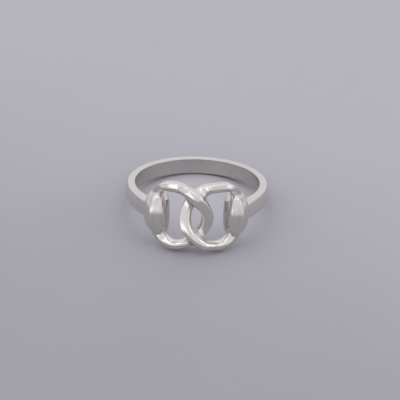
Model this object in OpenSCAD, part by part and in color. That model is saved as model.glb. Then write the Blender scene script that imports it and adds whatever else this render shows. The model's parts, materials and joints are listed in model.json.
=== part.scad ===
// Finger ring cast in one piece: a shank that thickens into two faceted bosses, and between the
// bosses two D links that interlock at the front and are fused where they cross.
// Lengths are in millimetres and angles in degrees.
// Every feature is drawn about the ring's own axis, with the links at the front (-Y). The whole is
// then laid down as it rests on a flat surface, on both links and on the back of the shank.

/* [Shank] */
// Diameter of the finger hole
hole_d = 17.3; // [17:0.1:17.6]
// Height of the shank along the finger
shank_h = 2.3; // [2.1:0.1:2.5]
// Thickness of the band at its rims
rim_t = 1.05; // [0.95:0.05:1.15]
// How far the band's outer side bulges past its rims
bulge = 0.3; // [0.2:0.05:0.35]
// Angle from the front at which the shank starts to thicken
shoulder_a = 85; // [82:1:88]
// Radius of the outer side where it thickens
shoulder_r = 13; // [12.8:0.2:13.6]

/* [Bosses] */
// Distance of a boss from the ring's middle plane
boss_x = 5.3; // [5.2:0.05:5.4]
// Distance of a boss's long facet from the ring's axis, towards the front
boss_y = 10.35; // [10.2:0.05:10.5]
// Height of a boss along the finger
boss_h = 6.3; // [6.1:0.1:6.5]
// Width of a boss
boss_w = 3.5; // [3.4:0.1:3.6]
// How much the long facet swells from its ends to its middle
boss_swell = 0.55; // [0.45:0.05:0.65]

/* [Links] */
// Distance of the wire's middle from the ring's axis
link_r = 10.2; // [10.1:0.05:10.3]
// Height of a link between the middles of its wire
link_h = 8.5; // [8.3:0.1:8.7]
// Distance of a link's highest point from the front, along the ring
link_u = 3; // [2.9:0.05:3.1]
// Length of the round end of a link, from there to the wire's middle
round_l = 4.5; // [4.4:0.05:4.6]
// Length of the square end of a link, from there to the wire's middle
square_l = 2.85; // [2.75:0.05:2.95]
// Width of the wire
wire_w = 1.65; // [1.6:0.05:1.7]
// Thickness of the wire, across the ring's wall
wire_t = 1.5; // [1.45:0.05:1.55]
// How far a link swings out and in to pass the other
weave = 0.66; // [0.62:0.01:0.68]
// Radius of the metal that fills the corners where the links cross
weld_r = 1.1; // [1.05:0.05:1.15]

/* [Hidden] */
silver = "#d9d8d4";
$fn = 96;
hole_r = hole_d / 2;
rim_r = hole_r + rim_t;
crest_r = rim_r + bulge;
// how far a cut reaches past what it cuts
over = 1;
// how far the band reaches into the finger hole before the hole is cut
into_hole = 0.2;

// Shank
// angle from the front at which the band ends, inside a boss
band_end = 30;
// how far a shoulder starts under the band's crest, how far it turns about its own middle and how
// far its profile reaches in
shoulder_sink = 0.35;
shoulder_turn = 38;
shoulder_in = 3;
// radius of an arc that rises that much over a chord of twice half
function arc_r(half, rise) = (half * half + rise * rise) / (2 * rise);

// a block of the shank's height and a depth under the radius r
module block(r, depth) {
    translate([r - depth, -shank_h / 2]) square([depth, shank_h]);
}

// the band of even thickness, from inside one boss round the back to inside the other: a block
// under an arc
module band() {
    arc = arc_r(shank_h / 2, bulge);
    rotate([0, 0, band_end - 90])
        rotate_extrude(angle = 360 - 2 * band_end) {
            block(rim_r, rim_t + into_hole);
            intersection() {
                translate([crest_r - arc, 0]) circle(arc);
                block(crest_r + over, 2 * over);
            }
        }
}

// the metal that thickens the band towards one boss and is flat from rim to rim; it starts under
// the band's rims and comes out through them first, and its inner side lies within the band
module shoulder() difference() {
    start = 90 - shoulder_a;
    translate((crest_r - shoulder_sink - shoulder_r) * [cos(start), -sin(start), 0])
        rotate([0, 0, -start - shoulder_turn])
            rotate_extrude(angle = shoulder_turn)
                block(shoulder_r, shoulder_in);
    cylinder(h = shank_h + 2 * over, r = hole_r + rim_t / 2, center = true);
}

// Bosses
// outline of a boss at its middle, seen along the finger: [side, front]. side is a share of half
// the boss's width, and front a share of its depth in front of the wire inside it. The outline
// starts in the finger hole and runs by the side that faces the links and its groove, the
// long facet and the side that faces the shank, and ends in the hole again.
boss_plan = [
    [-1.1, -0.75], [-0.84, 0.5], [-0.8, 0.56], [-0.68, 0.56], [-0.66, 0.36], [-0.5, 0.38],
    [-0.46, 0.8], [-0.26, 1], [0.37, 0.94], [0.6, 0.83], [0.88, 0.55], [1.06, 0.2],
    [0.85, -0.2], [0.2, -0.9]
];
// the outline in convex parts: the rim of the groove, the groove's floor and the boss beside it
boss_parts = [[0, 1, 2, 3, 4], [0, 4, 5, 13], [5, 6, 7, 8, 9, 10, 11, 12, 13]];
boss_wire_y = 8;
boss_levels = 16;
// how blunt a boss's ends are: the share of an almond's whole height that is left, and the power
// of its outline (2 is an ellipse)
boss_cut = 0.97;
boss_n = 2.2;
// share of the half height at which the long facet ends, and how much of the depth is lost from
// there to the end
boss_crease = 0.84;
boss_slope = 0.27;
function boss_width(v) = pow(1 - pow(abs(v) * boss_cut, boss_n), 1 / boss_n);
function boss_depth(v) = abs(v) <= boss_crease
    ? 1 - boss_swell * pow(v / boss_crease, 2) / (boss_y - boss_wire_y)
    : boss_depth(boss_crease) - boss_slope * (abs(v) - boss_crease) / (1 - boss_crease);

module boss() {
    n = len(boss_plan);
    points = [for (i = [0:boss_levels]) let (v = -cos(180 * i / boss_levels))
        for (p = boss_plan) [
            boss_x + boss_w / 2 * p.x * boss_width(v),
            -boss_wire_y - (boss_y - boss_wire_y) * p.y * (p.y > 0 ? boss_depth(v) : 1),
            boss_h / 2 * v]];
    walls = [for (i = [0:boss_levels - 1]) for (j = [0:n - 1])
        [i * n + j, (i + 1) * n + j, (i + 1) * n + (j + 1) % n, i * n + (j + 1) % n]];
    bottom = boss_parts;
    top = [for (part = boss_parts) [for (k = [len(part) - 1:-1:0]) boss_levels * n + part[k]]];
    polyhedron(points, concat(walls, bottom, top));
}

// Links
wire_sides = 16;
link_rings = 72;
// how square the wire's section is, and the end of a link that lies in its boss (2 is round)
section_n = 2.4;
corner_n = 2.2;
function power(x, e) = sign(x) * pow(abs(x), e);
function unit(v) = v / norm(v);
// point at a distance from the ring's axis, an angle from the front and a height
function polar(r, a, z) = [r * sin(a), -r * cos(a), z];
// middle of the wire at an angle round the link, for the link on the left
function link_middle(a) = let (
        in_boss = cos(a) < 0,
        e = in_boss ? 2 / corner_n : 1,
        u = -link_u + (in_boss ? square_l : round_l) * power(cos(a), e),
        lift = in_boss ? 0 : weave * sin(2 * a))
    polar(link_r + lift, u / link_r * 180 / PI, link_h / 2 * power(sin(a), e));

link_points = [for (i = [0:link_rings - 1]) let (
        a = 360 * i / link_rings,
        p = link_middle(a),
        ahead = unit(link_middle(a + 1) - link_middle(a - 1)),
        radial = [p.x, p.y, 0],
        out = unit(radial - (radial * ahead) * ahead),
        across = cross(ahead, out))
    for (j = [0:wire_sides - 1]) let (b = 360 * j / wire_sides)
        p + across * wire_w / 2 * power(cos(b), 2 / section_n)
            + out * wire_t / 2 * power(sin(b), 2 / section_n)];

module link() {
    faces = [for (i = [0:link_rings - 1]) for (j = [0:wire_sides - 1]) let (
            i2 = (i + 1) % link_rings,
            j2 = (j + 1) % wire_sides)
        [i * wire_sides + j, i * wire_sides + j2, i2 * wire_sides + j2, i2 * wire_sides + j]];
    polyhedron(link_points, faces);
}

// Metal that fills the corners at the upper and the lower crossing
weld_places = [[0.15, 3.05], [0.15, -2.95]];
module weld(place) {
    translate([place.x, -link_r, place.y]) sphere(weld_r, $fn = 12);
}

// Pose at rest
// height of a point, and its place from front to back, once the front is raised by an angle
function height(p, t) = p.z * cos(t) - p.y * sin(t);
function depth(p, t) = p.y * cos(t) + p.z * sin(t);
// where a point of the left link lies on the right link
function turned(p) = [-p.x, p.y, -p.z];
function link_bottom(t) = min([for (p = link_points) height(p, t)]);
function back_bottom(t) = height([0, rim_r, -shank_h / 2], t);
// the angle at which the links and the back of the shank stand equally low, by halving a range
function settle(low, high, n) = let (t = (low + high) / 2)
    n == 0 ? t : link_bottom(t) < back_bottom(t) ? settle(t, high, n - 1) : settle(low, t, n - 1);
tilt = settle(5, 20, 20);
front_end = min([for (p = link_points) min(depth(p, tilt), depth(turned(p), tilt))]);
back_end = let (arc = arc_r(shank_h / 2, bulge)) (crest_r - arc) * cos(tilt) + arc;

module lay_down()
    translate([0, -(front_end + back_end) / 2, -back_bottom(tilt)])
        rotate([-tilt, 0, 0]) children();

module ring() color(silver) lay_down() difference() {
    union() {
        band();
        for (side = [0, 1]) mirror([side, 0, 0]) shoulder();
        for (side = [0, 1]) mirror([side, 0, 0]) boss();
        for (turn = [0, 180]) rotate([0, turn, 0]) link();
        for (place = weld_places) weld(place);
    }
    cylinder(h = boss_h + 2 * over, r = hole_r, center = true);
}

ring();
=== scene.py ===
import json
import math

import bpy
import numpy as np
from mathutils import Matrix, Vector


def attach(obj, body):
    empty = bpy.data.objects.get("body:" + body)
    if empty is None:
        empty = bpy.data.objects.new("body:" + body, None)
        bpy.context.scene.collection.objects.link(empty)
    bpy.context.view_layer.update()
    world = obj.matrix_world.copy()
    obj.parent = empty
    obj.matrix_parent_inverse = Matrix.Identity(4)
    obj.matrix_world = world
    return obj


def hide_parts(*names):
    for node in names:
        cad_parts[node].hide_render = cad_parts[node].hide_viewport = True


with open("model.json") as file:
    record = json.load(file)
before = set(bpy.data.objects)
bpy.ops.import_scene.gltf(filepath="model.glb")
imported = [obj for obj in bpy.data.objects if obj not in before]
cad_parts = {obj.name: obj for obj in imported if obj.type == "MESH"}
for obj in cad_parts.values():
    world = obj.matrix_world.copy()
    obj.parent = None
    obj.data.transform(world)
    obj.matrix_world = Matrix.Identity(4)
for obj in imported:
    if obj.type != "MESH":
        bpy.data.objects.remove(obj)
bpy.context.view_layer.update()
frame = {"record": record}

# The ring is one polished casting, so it is made as one surface: the zero level of a distance
# field in the ring's own frame (middle of the finger hole at 0, finger along z, links at -y,
# lengths in millimetres), which is then laid down as the ring rests. The main sizes are those of
# the CAD model, and the finer forms are read from the photo.

# Pose at rest: how far the front is raised, and where the middle of the finger hole lies
MM = 0.001
finger_hole = frame["record"]["mounts"][0]
TILT = math.asin(finger_hole["axis"][1])
REST = np.array(finger_hole["pos_m"]) / MM

# Shank: radius of the finger hole, height along the finger, radius of the crest, and how far the
# crest stands past the rims
HOLE_R = finger_hole["dims"]["r_mm"]
SHANK_H = 2.3
CREST_R = 10.0
BULGE = 0.3
# shoulders: arcs that start a little in front of the ring's sides and under the crest
SHOULDER_R = 12.2
SHOULDER_START = math.radians(5)
SHOULDER_SINK = 0.16
SHOULDER_BULGE = 0.15
# angles from the front up to which the bulge is the shoulders', and from which it is the band's
SHOULDER_TO, BAND_FROM = math.radians(44), math.radians(80)
# angle from the front at which the shank ends, inside a boss
BAND_END = math.radians(30)
# width of the soft edges: where a shoulder starts, at the rims and at the finger hole
SHOULDER_EDGE, RIM_EDGE, HOLE_EDGE = 0.03, 0.1, 0.12

# Bosses: place across, and distances of the long facet and of the wire inside from the ring's axis
BOSS_X, BOSS_Y, BOSS_WIRE_Y = 5.3, 10.35, 8.0
BOSS_DEPTH = BOSS_Y - BOSS_WIRE_Y
BOSS_H = 6.3
# share of the half height at which the long facet ends, how far it swells from there to its
# middle, and the share of the depth that is lost from there to the tip
BOSS_CREASE, BOSS_SWELL, BOSS_SLOPE = 0.84, 0.55, 0.27
# how each kind of corner moves in towards the tips: the almond outline by its height and power,
# the front face by its height, power and least share, the groove and the leaf by a share
BOSS_CUT, BOSS_N = 0.97, 2.2
FACE_END, FACE_POWER, FACE_LEAST = 1.1, 2.25, 0.02
GROOVE_NARROWS = 0.37
LEAF_NARROWS, LEAF_POWER = 0.35, 3
# corners of the body seen along the finger: kind, place across in mm from the boss's middle
# (+ is outwards), and share of the depth in front of the wire
BODY = [
    ("face", -0.84, 1.0), ("face", 0.86, 0.95), ("outline", 1.7, 0.5), ("outline", 1.855, 0.2),
    ("outline", 1.49, -0.2), ("outline", 0.35, -0.9), ("groove", -0.5, -0.9),
    ("groove", -0.97, 0.3), ("groove", -0.93, 0.74)]
# corners of the leaf beside the groove, in the same way
LEAF = [
    ("leaf", -1.75, -0.25), ("leaf", -1.7, 0.13), ("groove", -1.0, 0.47), ("groove", -0.6, 0.4),
    ("groove", -0.5, -0.9), ("groove", -0.9, -0.9)]
LEAF_MIDDLE, LEAF_HALF = -0.3, 3.2
# height above which the leaf leans back, and how much
LEAF_KNEE, LEAF_LEAN = 1.85, 0.75
# distance in front of the wire behind which the tips get lower, how much, and over what depth
TIP_FROM, TIP_LEAN, TIP_RANGE = 0.9, 0.28, 3
# how far the front face moves inwards from its middle to a tip, and the share of that by which it
# stands outwards at its middle
FACE_SHIFT, FACE_OUT = 0.16, 0.9
# how much further the bevels lean back towards the tips
DOME = 0.85
# width of the soft edges: between facets, of the leaf on the body and at the tips
FACET_EDGE, LEAF_EDGE, TIP_EDGE = 0.07, 0.04, 0.2
# the left boss is a little wider towards the opening, and the right one a little narrower at the
# corners that are further outwards than OUTSIDE
LEFT_WIDER, RIGHT_SLIMMER, OUTSIDE = 0.11, 0.06, 1.4

# Links: distance of the wire's middle from the ring's axis, height between its middles, distance
# of the highest point from the front, and length of the round and of the square end from there
LINK_R, LINK_H, LINK_U = 10.2, 8.5, 3.0
ROUND_L, SQUARE_L = 4.5, 2.85
# how square a link's corners inside a boss are, at its upper and its lower arm (2 is round)
UPPER_N, LOWER_N = 2.7, 2.0
# how far the round end swings out and in, and the share of its length at which that is full
WEAVE, WEAVE_FULL = 0.66, 0.45
# faces of the wire's section: degrees from its front towards the link's outside, and distance
WIRE_FACES = [
    (9.8, 0.763), (85.8, 0.726), (131, 0.76), (180, 0.75), (233, 0.92), (265, 0.78),
    (289.6, 0.768)]
INNER_FACE, INNER_DISTANCE = 332.1, 0.776
WIRE_CRISP = 16
# share by which the wire is wider at both ends of a link
WIRE_WIDER = 0.05

# Forms that come and go along a link. Their windows are in two measures: high is 1 on the upper
# arm and -1 on the lower one, and inside is 1 at the end in the boss and -1 at the round end. The
# keys 1 and -1 stand for the left and the right link.
# the round end's front corner is flatter: share, and degrees round the link where it comes and goes
CUT = {1: 0.055, -1: 0.015}
CUT_COMES, CUT_GOES = (2, 42), (34, 80)
# the upper arm sinks towards the finger where it enters the boss
SINK, SINK_HIGH, SINK_INSIDE = 0.3, (0, 0.4), (0.35, 0.85)
# it gets thinner there from below, about a place near its upper side, and less so in depth
THIN, THIN_HIGH, THIN_INSIDE = 0.22, (0, 0.6), {1: (0, 0.7), -1: (-0.5, 0.7)}
THIN_PLACE, THIN_DEPTH = 0.74, 0.4
# on the lower arm the face towards the front and the inside stands further out, and less far out
# beside the boss
LOWER_OUT, LOWER_IN = 0.1, 0.24
LOWER_HIGH, LOWER_INSIDE, LOWER_BOSS = (0.15, 0.6), (-0.6, -0.1), (0.15, 0.7)
# there a further face takes off the corner between the front and the underside: degrees, distance,
# distance at which it takes nothing off, window, and how far the window leans to the round end
UNDER_FACE, UNDER_DISTANCE, NO_FACE = 67.7, 0.56, 1.2
UNDER_HIGH, UNDER_LEAN = (0.4, 0.8), 0.2

# Joins: balls of weld where the links cross, the lower one rough (place across and along the
# finger, radius, and how wide it runs out), and how wide the other joins run out
WELDS = [(0.14, 3.02, 0.85, 1.2), (0.15, -2.95, 0.85, 0.75)]
LINK_JOIN, BOSS_JOIN, SHANK_JOIN = 0.4, 0.1, 0.12

# Grid of the field: size of a cell, its ends and the number of its points each way
STEP = 0.1
LOW = np.array([-10.4, -11.9, -5.5])
HIGH = np.array([10.4, 10.4, 5.5])
SIZE = np.round((HIGH - LOW) / STEP).astype(int) + 1
# how far from a link's middle the field is worked out, and its value where nothing is near
WIRE_NEAR = 1.35
FAR = 1.0
# where the shank and the bosses lie: half their heights, least and greatest distance from the
# ring's axis, how far past its end the shank counts, and the bosses' places across and to the back
SHANK_HALF, SHANK_INNER, OUTER_R, PAST_END = 1.6, 8, 12, 0.08
BOSS_HALF, BOSS_FROM, BOSS_TO, BOSS_BACK = 3.7, 2.8, 7.8, -5.6
TINY = 1e-6


def smooth_min(a, b, k):
    h = np.maximum(k - np.abs(a - b), 0) / k
    return np.minimum(a, b) - h * h * k / 4


def smooth_max(a, b, k):
    return -smooth_min(-a, -b, k)


def ease(x, low, high):
    """0 below low, 1 above high and smooth between."""
    t = np.clip((x - low) / (high - low), 0, 1)
    return t * t * (3 - 2 * t)


def power(x, e):
    return np.sign(x) * np.abs(x) ** e


def dot(a, b):
    return np.einsum("ij,ij->i", a, b)


def unit(v):
    return v / np.linalg.norm(v, axis=1)[:, None]


def shank(p):
    x, y, z = np.abs(p[:, 0]), p[:, 1], p[:, 2]
    r = np.hypot(x, y)
    turn = np.arctan2(x, -y)
    # how far out a shoulder's arc lies in the direction of each point
    reach = CREST_R - SHOULDER_SINK - SHOULDER_R
    centre = reach * np.array([math.cos(SHOULDER_START), -math.sin(SHOULDER_START)])
    along = (centre[0] * x + centre[1] * y) / np.maximum(r, TINY)
    shoulder = along + np.sqrt(np.maximum(along ** 2 - reach ** 2 + SHOULDER_R ** 2, 0))
    shoulder = np.where(turn < math.pi / 2 - SHOULDER_START, shoulder, CREST_R - SHOULDER_SINK)
    crest = smooth_max(shoulder, np.full_like(r, CREST_R), SHOULDER_EDGE)
    rise = SHOULDER_BULGE + (BULGE - SHOULDER_BULGE) * ease(turn, SHOULDER_TO, BAND_FROM)
    t = z / (SHANK_H / 2)
    slope = 2 * rise * t / (SHANK_H / 2)
    outer = (r - crest + rise * t * t) / np.sqrt(1 + slope ** 2)
    d = smooth_max(outer, np.abs(z) - SHANK_H / 2, RIM_EDGE)
    d = smooth_max(d, HOLE_R - r, HOLE_EDGE)
    return np.maximum(d, (BAND_END - turn) * r)


def convex(u, w, corners):
    """Distance to a convex outline whose corners run clockwise, with softened edges."""
    total = 0
    for (au, aw), (bu, bw) in zip(corners, corners[1:] + corners[:1]):
        eu, ew = bu - au, bw - aw
        d = (eu * (w - aw) - ew * (u - au)) / np.maximum(np.hypot(eu, ew), TINY)
        total = total + np.exp(np.clip(d / FACET_EDGE, -60, 60))
    return FACET_EDGE * np.log(total)


def boss(p):
    x, y, z = np.abs(p[:, 0]), p[:, 1], p[:, 2]
    u, w = x - BOSS_X, -y - BOSS_WIRE_Y
    v = np.minimum(np.abs(z) / (BOSS_H / 2), 1.0)
    swell = BOSS_SWELL / BOSS_DEPTH * np.minimum(v / BOSS_CREASE, 1) ** 2
    slope = BOSS_SLOPE * np.maximum(v - BOSS_CREASE, 0) / (1 - BOSS_CREASE)
    depth = BOSS_DEPTH * (1 - swell - slope)
    leaf_v = np.minimum(np.abs(z - LEAF_MIDDLE) / LEAF_HALF, 1)
    narrow = {
        "outline": (1 - (v * BOSS_CUT) ** BOSS_N) ** (1 / BOSS_N),
        "face": np.maximum(1 - (v / FACE_END) ** FACE_POWER, FACE_LEAST),
        "groove": 1 - GROOVE_NARROWS * v ** BOSS_N,
        "leaf": 1 - LEAF_NARROWS * leaf_v ** LEAF_POWER}
    wider = np.where(p[:, 0] < 0, LEFT_WIDER, 0)
    slimmer = np.where(p[:, 0] > 0, RIGHT_SLIMMER, 0)

    def corner(kind, side, front, back):
        """Place across and in front of the wire, at the height of each point."""
        if side < 0 and kind != "leaf":
            side = side - wider
        elif side > OUTSIDE:
            side = side - slimmer
        reach = depth if front > 0 else BOSS_DEPTH
        if front > 0 and kind == "outline":
            reach = depth * (1 - DOME * v * v)
        shift = FACE_SHIFT * (FACE_OUT - v * v) if kind == "face" else 0
        return narrow[kind] * side + shift, front * reach - back

    lean = LEAF_LEAN * np.maximum(z - LEAF_KNEE, 0)
    body = convex(u, w, [corner(*place, 0) for place in BODY])
    leaf = convex(u, w, [corner(*place, lean) for place in LEAF])
    d = smooth_min(body, leaf, LEAF_EDGE)
    top = BOSS_H / 2 - TIP_LEAN * np.clip(TIP_FROM - w, 0, TIP_RANGE)
    d = smooth_max(d, np.abs(z) - top, TIP_EDGE)
    return smooth_max(d, HOLE_R - np.hypot(x, y), HOLE_EDGE)


def link_middle(a, up):
    """Middle of the wire at angles round a link: the left link where up is 1, and where up is -1
    the right link turned over onto the left one."""
    inside, high = -np.cos(a), up * np.sin(a)
    in_boss = inside > 0
    e = np.where(in_boss, np.where(high > 0, 2 / UPPER_N, 2 / LOWER_N), 1.0)
    degrees = np.degrees(a) % 360
    full = 1 - CUT[up] * ease(degrees, *CUT_COMES) * (1 - ease(degrees, *CUT_GOES))
    u = -LINK_U - np.where(in_boss, SQUARE_L, ROUND_L) * power(inside, e) * full
    r = LINK_R + WEAVE * np.sin(2 * a) * ease(-inside, 0, WEAVE_FULL)
    r = r - SINK * ease(inside, *SINK_INSIDE) * ease(high, *SINK_HIGH)
    t = u / LINK_R
    z = LINK_H / 2 * power(np.sin(a), e) * full
    return np.stack([r * np.sin(t), -r * np.cos(t), z], -1)


def link_heading(a, up):
    """How the wire's middle moves with the angle."""
    h = 1e-3
    return (link_middle(a + h, up) - link_middle(a - h, up)) / (2 * h)


def turned(p, up):
    """Places about the left link (up is 1) as they are, and those about the right link turned over
    to where they lie about the left one, or back."""
    return p if up > 0 else p * [-1, 1, -1]


LINK_SAMPLES = 360
SAMPLE_A = np.arange(LINK_SAMPLES) * 2 * math.pi / LINK_SAMPLES
# steps from a sample to the nearest place of the middle, and the longest of them in radians
NEARER_STEPS, LONGEST_TURN = 3, 0.02
# share of the way to the wire's side within which a point is on its middle, and the field there
ON_MIDDLE, MIDDLE_VALUE = 1e-3, -0.75


def wire(p, near, up):
    """Distance to a link's wire, from the nearest sample of its middle."""
    a = SAMPLE_A[near]
    for _ in range(NEARER_STEPS):
        ahead = link_heading(a, up)
        step = dot(p - link_middle(a, up), ahead) / np.maximum(dot(ahead, ahead), 1)
        a = a + np.clip(step, -LONGEST_TURN, LONGEST_TURN)
    # place in the wire's section: s towards the link's outside, o towards the front
    c = link_middle(a, up)
    ahead = unit(link_heading(a, up))
    radial = c * [1, 1, 0]
    out = unit(radial - dot(radial, ahead)[:, None] * ahead)
    q = p - c
    s, o = dot(q, np.cross(ahead, out)), dot(q, out)
    inside, high = -np.cos(a), up * np.sin(a)
    s = s / (1 + WIRE_WIDER * inside ** 2)
    thin = THIN * ease(inside, *THIN_INSIDE[up]) * ease(high, *THIN_HIGH)
    s, o = (s - thin * THIN_PLACE) / (1 - thin), o / (1 - thin * THIN_DEPTH)
    lower = ease(-high, *LOWER_HIGH) * ease(inside, *LOWER_INSIDE)
    lower = lower * (LOWER_OUT - LOWER_IN * ease(inside, *LOWER_BOSS))
    under = ease(-high - UNDER_LEAN * inside, *UNDER_HIGH)
    under = NO_FACE + (UNDER_DISTANCE - NO_FACE) * under
    total = 0
    for degrees, distance in WIRE_FACES + [(INNER_FACE, INNER_DISTANCE + lower), (UNDER_FACE, under)]:
        turn = math.radians(degrees)
        reach = (s * math.sin(turn) + o * math.cos(turn)) / distance
        total = total + np.maximum(reach, 0) ** WIRE_CRISP
    share = total ** (1 / WIRE_CRISP)
    size = np.sqrt(s * s + o * o + dot(q, ahead) ** 2)
    value = size * (1 - 1 / np.maximum(share, ON_MIDDLE))
    return np.where(share > ON_MIDDLE, value, MIDDLE_VALUE)


def nearest_samples(samples):
    """For each point of the grid near a link, the nearest sample of its middle, or -1."""
    near = np.full(SIZE, -1, np.int16)
    least = np.full(SIZE, WIRE_NEAR ** 2, np.float32)
    reach = int(WIRE_NEAR / STEP) + 1
    for i, sample in enumerate(samples):
        at = np.round((sample - LOW) / STEP).astype(int)
        start, end = np.maximum(at - reach, 0), np.minimum(at + reach + 1, SIZE)
        block = tuple(slice(a, b) for a, b in zip(start, end))
        x, y, z = [(np.arange(a, b) * STEP + low - middle) ** 2
                   for a, b, low, middle in zip(start, end, LOW, sample)]
        d = x[:, None, None] + y[None, :, None] + z[None, None, :]
        closer = d < least[block]
        least[block] = np.where(closer, d, least[block])
        near[block] = np.where(closer, i, near[block])
    return near


NEAR = {up: nearest_samples(turned(link_middle(SAMPLE_A, up), up)) for up in (1, -1)}


def near_shank(p):
    turn = np.arctan2(np.abs(p[..., 0]), -p[..., 1])
    round_hole = np.hypot(p[..., 0], p[..., 1]) > SHANK_INNER
    return (np.abs(p[..., 2]) < SHANK_HALF) & round_hole & (turn > BAND_END - PAST_END)


def near_boss(p):
    across = np.abs(p[..., 0])
    beside = (across > BOSS_FROM) & (across < BOSS_TO)
    return beside & (p[..., 1] < BOSS_BACK) & (np.abs(p[..., 2]) < BOSS_HALF)


def part_of(p, where, field):
    """A field worked out only where it matters."""
    d = np.full(len(p), FAR)
    if where.any():
        d[where] = field(p[where])
    return d


def link_field(p, up):
    cell = np.clip(np.round((p - LOW) / STEP).astype(int), 0, SIZE - 1)
    sample = NEAR[up][tuple(cell.T)]
    near = sample >= 0
    return part_of(p, near, lambda q: wire(turned(q, up), sample[near], up))


def ring_field(p):
    d = smooth_min(link_field(p, 1), link_field(p, -1), LINK_JOIN)
    for x, z, size, spread in WELDS:
        ball = np.linalg.norm(p - [x, -LINK_R, z], axis=1)
        d = smooth_min(d, ball - size, spread)
    d = smooth_min(d, part_of(p, near_boss(p), boss), BOSS_JOIN)
    return smooth_min(d, part_of(p, near_shank(p), shank), SHANK_JOIN)


def surface(field):
    """Surface nets: one vertex in each cell that the surface crosses, and a quad round each edge
    of the grid that it crosses."""
    axes = [np.arange(n) * STEP + low for n, low in zip(SIZE, LOW)]
    grid = np.stack(np.meshgrid(*axes, indexing="ij"), -1)
    active = near_shank(grid) | near_boss(grid)
    active &= np.hypot(grid[..., 0], grid[..., 1]) < OUTER_R
    active |= (NEAR[1] >= 0) | (NEAR[-1] >= 0)
    values = np.full(SIZE, FAR, np.float32)
    values[active] = field(grid[active])
    solid = values < 0

    # each vertex is the middle of the places where its cell's edges are crossed
    cells = SIZE - 1
    count = np.zeros(cells, np.int8)
    total = np.zeros(tuple(cells) + (3,), np.float32)
    for start in np.ndindex(2, 2, 2):
        for axis in range(3):
            if start[axis]:
                continue
            end = tuple(1 if m == axis else start[m] for m in range(3))
            at_start = tuple(slice(start[m], start[m] + cells[m]) for m in range(3))
            at_end = tuple(slice(end[m], end[m] + cells[m]) for m in range(3))
            crossed = solid[at_start] != solid[at_end]
            a, b = values[at_start][crossed], values[at_end][crossed]
            place = np.repeat(np.array(start, np.float32)[None], len(a), 0)
            place[:, axis] += a / (a - b)
            total[crossed] += place
            count[crossed] += 1
    used = count > 0
    index = np.full(cells, -1, np.int64)
    index[used] = np.arange(used.sum())
    vertices = LOW + STEP * (np.argwhere(used) + total[used] / count[used][:, None])

    # each quad joins the four cells round a crossed edge
    faces = []
    for axis in range(3):
        b, c = (axis + 1) % 3, (axis + 2) % 3
        start = [slice(1, n) for n in cells]
        start[axis] = slice(0, cells[axis])
        end = list(start)
        end[axis] = slice(1, cells[axis] + 1)
        crossed = solid[tuple(start)] != solid[tuple(end)]
        leaves_solid = solid[tuple(start)][crossed]
        edge = np.argwhere(crossed) + [0 if m == axis else 1 for m in range(3)]
        corners = []
        for back_b, back_c in ((1, 1), (0, 1), (0, 0), (1, 0)):
            cell = edge.copy()
            cell[:, b] -= back_b
            cell[:, c] -= back_c
            corners.append(index[tuple(cell.T)])
        face = np.stack(corners, -1)
        face[~leaves_solid] = face[~leaves_solid][:, ::-1]
        faces.append(face)
    return vertices, np.concatenate(faces)


def gradient(field, p, h):
    g = np.stack([field(p + h * e) - field(p - h * e) for e in np.eye(3)], -1)
    return g / (2 * h)


# Steps to the surface: width of the gradient, its least square, and the longest step
FINE_WIDTH, LEAST_SQUARE, LONGEST = 0.01, 0.05, 0.05


def onto_surface(field, p, steps):
    for _ in range(steps):
        g = gradient(field, p, FINE_WIDTH)
        step = g * (field(p) / np.maximum(dot(g, g), LEAST_SQUARE))[:, None]
        p = p - np.clip(step, -LONGEST, LONGEST)
    return p


def relaxed(p, quads, share):
    """Each vertex moved towards the middle of its neighbours."""
    total = np.zeros_like(p)
    count = np.zeros(len(p))
    for a, b in ((0, 1), (1, 2), (2, 3), (3, 0)):
        for i, j in ((quads[:, a], quads[:, b]), (quads[:, b], quads[:, a])):
            for m in range(3):
                total[:, m] += np.bincount(i, p[j, m], len(p))
            count += np.bincount(i, minlength=len(p))
    return p + share * (total / count[:, None] - p)


# The normals come from a wider gradient, which softens the shading of the edges
NORMAL_WIDTH = 0.06
points, quads = surface(ring_field)
points = onto_surface(ring_field, points, 1)
points = relaxed(points, quads, 0.5)
points = onto_surface(ring_field, points, 2)
normals = unit(gradient(ring_field, points, NORMAL_WIDTH))


def tilted(p):
    """From the directions of the ring's own frame to those of the CAD model's frame."""
    c, s = math.cos(TILT), math.sin(TILT)
    return np.stack([p[:, 0], p[:, 1] * c + p[:, 2] * s, -p[:, 1] * s + p[:, 2] * c], -1)


mesh = bpy.data.meshes.new("chain_ring")
mesh.vertices.add(len(points))
mesh.vertices.foreach_set("co", ((tilted(points) + REST) * MM).astype(np.float32).ravel())
mesh.loops.add(4 * len(quads))
mesh.loops.foreach_set("vertex_index", quads.astype(np.int32).ravel())
mesh.polygons.add(len(quads))
mesh.polygons.foreach_set("loop_start", np.arange(0, 4 * len(quads), 4, dtype=np.int32))
mesh.update(calc_edges=True)
mesh.validate()
mesh.polygons.foreach_set("use_smooth", np.ones(len(mesh.polygons), bool))
mesh.normals_split_custom_set_from_vertices(tilted(normals).tolist())

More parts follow.
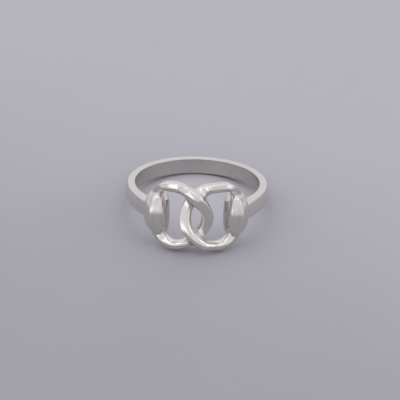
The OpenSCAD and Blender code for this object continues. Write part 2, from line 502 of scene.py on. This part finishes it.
# What the finish and the painted shade depend on: the way round the ring and along the finger in
# millimetres, and how much a point belongs to the finger hole's wall, to a hollow, to a boss or to
# the rough weld. The wall gets painted shade, and the hollows tarnish with painted shade. The windows
# are distances from the wall, from a boss and from the weld's middle, and the share of the space out
# along the normal that is open.
WALL_SKIN, BOSS_SKIN, WELD_SKIN = (0.02, 0.09), (0.03, 0.12), (0.7, 1.5)
CAVITY, CAVITY_OPEN = 0.35, (0.25, 0.85)
from_wall = np.hypot(points[:, 0], points[:, 1]) - HOLE_R
open_space = ring_field(points + CAVITY * normals) / CAVITY
from_boss = part_of(points, near_boss(points), boss)
rough_x, rough_z = WELDS[1][:2]
from_weld = np.linalg.norm(points - [rough_x, -LINK_R, rough_z], axis=1)
finish_and_painted_shade = {
    "around": np.arctan2(points[:, 0], -points[:, 1]) * HOLE_R,
    "along": points[:, 2],
    "inner": 1 - ease(from_wall, *WALL_SKIN),
    "hollow": 1 - ease(open_space, *CAVITY_OPEN),
    "boss": 1 - ease(from_boss, *BOSS_SKIN),
    "weld": 1 - ease(from_weld, *WELD_SKIN)}
for name, values in finish_and_painted_shade.items():
    layer = mesh.attributes.new(name, "FLOAT", "POINT")
    layer.data.foreach_set("value", values.astype(np.float32))

ring = bpy.data.objects.new("chain_ring", mesh)
bpy.context.scene.collection.objects.link(ring)
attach(ring, "root")
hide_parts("ring")
print("ring:", len(mesh.vertices), "vertices,", 2 * len(mesh.polygons), "triangles")


class Tree:
    """Short way to add and join nodes."""

    def __init__(self, tree):
        self.tree = tree

    def add(self, kind, **settings):
        node = self.tree.nodes.new(kind)
        for key, value in settings.items():
            setattr(node, key, value)
        return node

    def join(self, source, target):
        if isinstance(source, (int, float, tuple)):
            target.default_value = source
        else:
            self.tree.links.new(source, target)

    def math(self, operation, a, b=0.0, c=0.0):
        node = self.add("ShaderNodeMath", operation=operation)
        for value, socket in zip((a, b, c), node.inputs):
            self.join(value, socket)
        return node.outputs[0]

    def between(self, x, low, high):
        """0 below low, 1 above high and smooth between."""
        node = self.add("ShaderNodeMapRange", interpolation_type="SMOOTHSTEP")
        self.join(x, node.inputs["Value"])
        node.inputs["From Min"].default_value = low
        node.inputs["From Max"].default_value = high
        return node.outputs["Result"]

    def mix(self, share, a, b):
        node = self.add("ShaderNodeMix", data_type="RGBA")
        self.join(share, node.inputs["Factor"])
        self.join(a, node.inputs[6])
        self.join(b, node.inputs[7])
        return node.outputs[2]

    def attribute(self, name):
        return self.add("ShaderNodeAttribute", attribute_name=name).outputs["Fac"]

    def parts(self, vector):
        node = self.add("ShaderNodeSeparateXYZ")
        self.join(vector, node.inputs[0])
        return node.outputs

    def noise(self, where, scale, detail=2.0, roughness=0.5):
        node = self.add("ShaderNodeTexNoise")
        self.join(where, node.inputs["Vector"])
        node.inputs["Scale"].default_value = scale
        node.inputs["Detail"].default_value = detail
        node.inputs["Roughness"].default_value = roughness
        return node.outputs["Fac"]

    def lines(self, x, y, scale_x, scale_y, detail, roughness):
        """Noise that is drawn out one way."""
        node = self.add("ShaderNodeCombineXYZ")
        self.join(self.math("MULTIPLY", x, scale_x), node.inputs[0])
        self.join(self.math("MULTIPLY", y, scale_y), node.inputs[1])
        return self.noise(node.outputs[0], 1.0, detail, roughness)


def material(name):
    made = bpy.data.materials.new(name)
    made.use_nodes = True
    return made, Tree(made.node_tree), made.node_tree.nodes["Principled BSDF"].inputs


# Silver: bright and dull, painted shade in the finger hole, at the rough weld, tarnish and painted
# shade in hollows
BRIGHT = (0.75, 0.73, 0.69, 1)
DULL = (0.64, 0.625, 0.59, 1)
HOLE_PAINTED_SHADE = (0.47, 0.455, 0.44, 1)
AT_WELD = (0.5, 0.46, 0.43, 1)
HOLLOW_TARNISH_AND_PAINTED_SHADE = (0.2, 0.185, 0.17, 1)
BUMP_HEIGHT = 0.01 * MM


def silver():
    made, n, shader = material("polished_silver")
    shader["Metallic"].default_value = 1.0
    place = n.add("ShaderNodeTexCoord").outputs["Object"]
    inner, hollow = n.attribute("inner"), n.attribute("hollow")
    on_boss, weld = n.attribute("boss"), n.attribute("weld")
    around, along = n.attribute("around"), n.attribute("along")
    # fine lines round the inside of the band, and soft streaks up and down the bosses
    brushed = n.lines(around, along, 0.12, 9.0, 4.0, 0.6)
    streaks = n.lines(around, along, 2.6, 0.3, 3.0, 0.55)
    soft = n.noise(place, 1100.0, 3.0)
    fine = n.noise(place, 6000.0, 4.0, 0.65)
    lumps = n.noise(place, 2600.0, 2.0)

    dull = n.math("MULTIPLY", on_boss, n.between(streaks, 0.35, 0.7))
    dull = n.math("MULTIPLY_ADD", n.between(soft, 0.3, 0.75), 0.35, n.math("MULTIPLY", dull, 0.65))
    colour = n.mix(dull, BRIGHT, DULL)
    # painted shade: the finger hole's wall is made darker
    colour = n.mix(n.math("MULTIPLY", inner, 0.7), colour, HOLE_PAINTED_SHADE)
    colour = n.mix(n.math("MULTIPLY", weld, 0.6), colour, AT_WELD)
    # darker in hollows: partly tarnish, partly painted shade
    colour = n.mix(n.math("MULTIPLY", hollow, 0.75), colour, HOLLOW_TARNISH_AND_PAINTED_SHADE)
    n.join(colour, shader["Base Color"])

    rough = n.math("MULTIPLY_ADD", soft, 0.1, 0.1)
    rough = n.math("MULTIPLY_ADD", n.math("MULTIPLY", inner, brushed), 0.3, rough)
    rough = n.math("MULTIPLY_ADD", hollow, 0.22, rough)
    rough = n.math("MULTIPLY_ADD", n.math("MULTIPLY", weld, fine), 0.7, rough)
    n.join(rough, shader["Roughness"])

    height = n.math("MULTIPLY", n.math("MULTIPLY", weld, lumps), 5.0)
    height = n.math("MULTIPLY_ADD", n.math("MULTIPLY", inner, brushed), 0.8, height)
    height = n.math("MULTIPLY_ADD", fine, 0.35, height)
    bump = n.add("ShaderNodeBump")
    bump.inputs["Strength"].default_value = 1.0
    bump.inputs["Distance"].default_value = BUMP_HEIGHT
    n.join(height, bump.inputs["Height"])
    n.join(bump.outputs[0], shader["Normal"])
    return made


mesh.materials.append(silver())

# Floor: a square of this half width, and its colour in front (painted shade), at the back, inside the
# ring (painted light) and outside the picture (painted light)
FLOOR_HALF = 4.0
PAPER_PAINTED_SHADE = (0.33, 0.33, 0.359, 1)
PAPER_BACK = (0.422, 0.422, 0.455, 1)
PAPER_PAINTED_LIGHT_IN_RING = (0.48, 0.48, 0.515, 1)
PAPER_PAINTED_LIGHT_OUTSIDE = (0.72, 0.7, 0.73, 1)
floor_mesh = bpy.data.meshes.new("floor")
signs = ((-1, -1), (1, -1), (1, 1), (-1, 1))
floor_mesh.from_pydata([(x * FLOOR_HALF, y * FLOOR_HALF, 0) for x, y in signs], [], [(0, 1, 2, 3)])
floor = bpy.data.objects.new("floor", floor_mesh)
bpy.context.scene.collection.objects.link(floor)


def paper():
    """Pale paper, with painted shade in front of the ring and to its left, and painted light inside
    the ring and outside the picture.
    """
    made, n, shader = material("paper")
    place = n.add("ShaderNodeTexCoord").outputs["Object"]
    x, y, _ = n.parts(place)
    lean = n.math("MULTIPLY_ADD", x, 0.35, y)
    lean = n.math("MULTIPLY_ADD", n.noise(place, 45.0, 2.0), 0.02, lean)
    # painted shade: the paper is darker in front of the ring and to its left
    colour = n.mix(n.between(lean, -0.035, 0.05), PAPER_PAINTED_SHADE, PAPER_BACK)
    # painted light: a little paler inside the ring, where its shade falls, and outside the picture,
    # to brighten reflections
    length = n.add("ShaderNodeVectorMath", operation="LENGTH")
    n.join(place, length.inputs[0])
    away = length.outputs["Value"]
    colour = n.mix(n.between(away, 7.5 * MM, 10.5 * MM), PAPER_PAINTED_LIGHT_IN_RING, colour)
    # painted light: paler paper outside the picture brightens what the silver reflects
    to_side = n.between(n.math("ABSOLUTE", x), 0.032, 0.06)
    outside = n.math("MAXIMUM", to_side, n.between(away, 0.06, 0.3))
    colour = n.mix(outside, colour, PAPER_PAINTED_LIGHT_OUTSIDE)
    n.join(colour, shader["Base Color"])
    shader["Roughness"].default_value = 0.8
    return made


floor_mesh.materials.append(paper())

# Light: a bright surround, brightest overhead, with two darker places near the horizon and lamps
SKY_LOW = (0.76, 0.73, 0.77, 1)
SKY_MIDDLE = (0.86, 0.83, 0.88, 1)
SKY_TOP = (1.03, 1.0, 1.06, 1)
SKY_DARK = (0.3, 0.29, 0.3, 1)
# azimuth and elevation in degrees, cosines of the angles at which it starts and is full, and share
DARK_PLACES = [(66, 2, 0.9, 0.985, 0.35), (-75, 12, 0.93, 0.99, 0.3)]
# azimuth, elevation and angle to the middle of the soft edge in degrees, and brightness
LAMPS = [
    (-140, 36, 6, 1.8), (-92, 30, 8, 2.2), (106, 26, 9, 2.2), (-150, 68, 8, 3), (130, 67, 8, 2.2),
    (-62, 57, 7, 2), (-145, 4, 8, 1.6), (-161, 8, 8, 1.5), (126, 4, 7, 1.3)]
# where a lamp's soft edge starts and where it is full, as shares of that angle, and its colour
LAMP_START, LAMP_FULL = 1.3, 0.7
LAMP_COLOUR = (1, 0.985, 0.965)

bpy.context.scene.view_settings.view_transform = "Standard"
world = bpy.data.worlds.new("studio")
bpy.context.scene.world = world
world.use_nodes = True
sky = Tree(world.node_tree)
dx, dy, dz = sky.parts(sky.add("ShaderNodeTexCoord").outputs["Generated"])
level = sky.mix(sky.between(dz, 0.0, 0.35), SKY_LOW, SKY_MIDDLE)
level = sky.mix(sky.between(dz, 0.5, 0.85), level, SKY_TOP)


def toward(azimuth, elevation, cosine_from, cosine_to):
    """1 towards a direction and 0 away from it; azimuth 0 is +Y and 90 is +X."""
    a, e = math.radians(azimuth), math.radians(elevation)
    x = sky.math("MULTIPLY", dx, math.sin(a) * math.cos(e))
    y = sky.math("MULTIPLY_ADD", dy, math.cos(a) * math.cos(e), x)
    z = sky.math("MULTIPLY_ADD", dz, math.sin(e), y)
    return sky.between(z, cosine_from, cosine_to)


for azimuth, elevation, start, full, share in DARK_PLACES:
    dark = sky.math("MULTIPLY", toward(azimuth, elevation, start, full), share)
    level = sky.mix(dark, level, SKY_DARK)
for azimuth, elevation, size, glow in LAMPS:
    start, full = [math.cos(math.radians(k * size)) for k in (LAMP_START, LAMP_FULL)]
    lit = toward(azimuth, elevation, start, full)
    level = sky.mix(lit, level, tuple(glow * c for c in LAMP_COLOUR) + (1,))
background = world.node_tree.nodes["Background"].inputs
sky.join(level, background["Color"])
background["Strength"].default_value = 1.0

# Camera, fitted to the photograph: the picture's width, the focal length and the shift are in the
# photograph's pixels, and the sensor's width is in millimetres
ELEVATION = math.radians(33.78)
ROLL = math.radians(1.52)
DISTANCE = 0.220
PICTURE, FOCAL, SHIFT_X, SHIFT_Y = 400, 1576.3, 2.88, -11.17
SENSOR = 36
target = Vector(REST * MM)
camera_data = bpy.data.cameras.new("camera")
camera = bpy.data.objects.new("camera", camera_data)
bpy.context.scene.collection.objects.link(camera)
camera.location = target + DISTANCE * Vector((0, -math.cos(ELEVATION), math.sin(ELEVATION)))
look = (target - camera.location).to_track_quat("-Z", "Y").to_matrix()
camera.rotation_euler = (look @ Matrix.Rotation(ROLL, 3, "Z")).to_euler()
camera_data.sensor_width = SENSOR
camera_data.lens = SENSOR * FOCAL / PICTURE
camera_data.shift_x = SHIFT_X / PICTURE
camera_data.shift_y = SHIFT_Y / PICTURE
camera_data.clip_start = 0.01
bpy.context.scene.camera = camera
